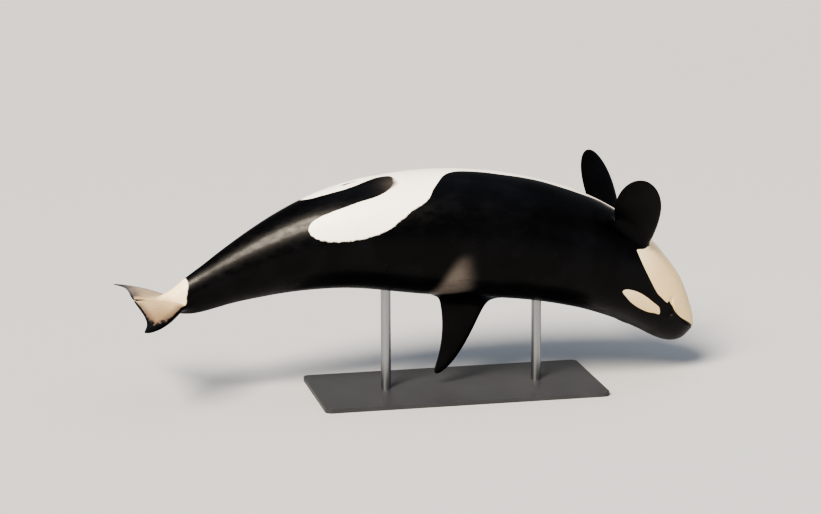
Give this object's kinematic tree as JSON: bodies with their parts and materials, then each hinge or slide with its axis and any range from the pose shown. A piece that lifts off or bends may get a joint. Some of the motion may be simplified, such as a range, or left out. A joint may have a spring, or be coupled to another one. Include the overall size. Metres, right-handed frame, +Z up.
{
  "type": "orca",
  "caption": "Life-size orca in a leap, belly up and arched, with paddle flippers, a hooked back fin and tail flukes, held by rods on a flat base.",
  "frame": {"origin": "middle of the stand base's flat underside, on the floor", "axes": "+Z up, +X along the body towards the head, -Y towards the animal's left flank, which the picture shows"},
  "size_m": [5.2949, 1.5081, 2.0316],
  "materials": {
    "black_hide": "wet black skin with white and grey markings",
    "white_hide": "wet white skin",
    "eye": "dark, wet",
    "base_paint": "satin grey",
    "rod_steel": "brushed"
  },
  "bodies": {
    "root": {"head": "black_hide", "lower_jaw": "white_hide", "chest": "black_hide", "abdomen": "black_hide", "tail_stock": "black_hide", "dorsal_fin": "black_hide", "flipper_left": "black_hide", "flipper_right": "black_hide", "fluke_left": "black_hide", "fluke_right": "black_hide", "eye_left": "eye", "eye_right": "eye", "stand_base": "base_paint", "stand_rod_front": "rod_steel", "stand_rod_rear": "rod_steel"}
  },
  "joints": []
}
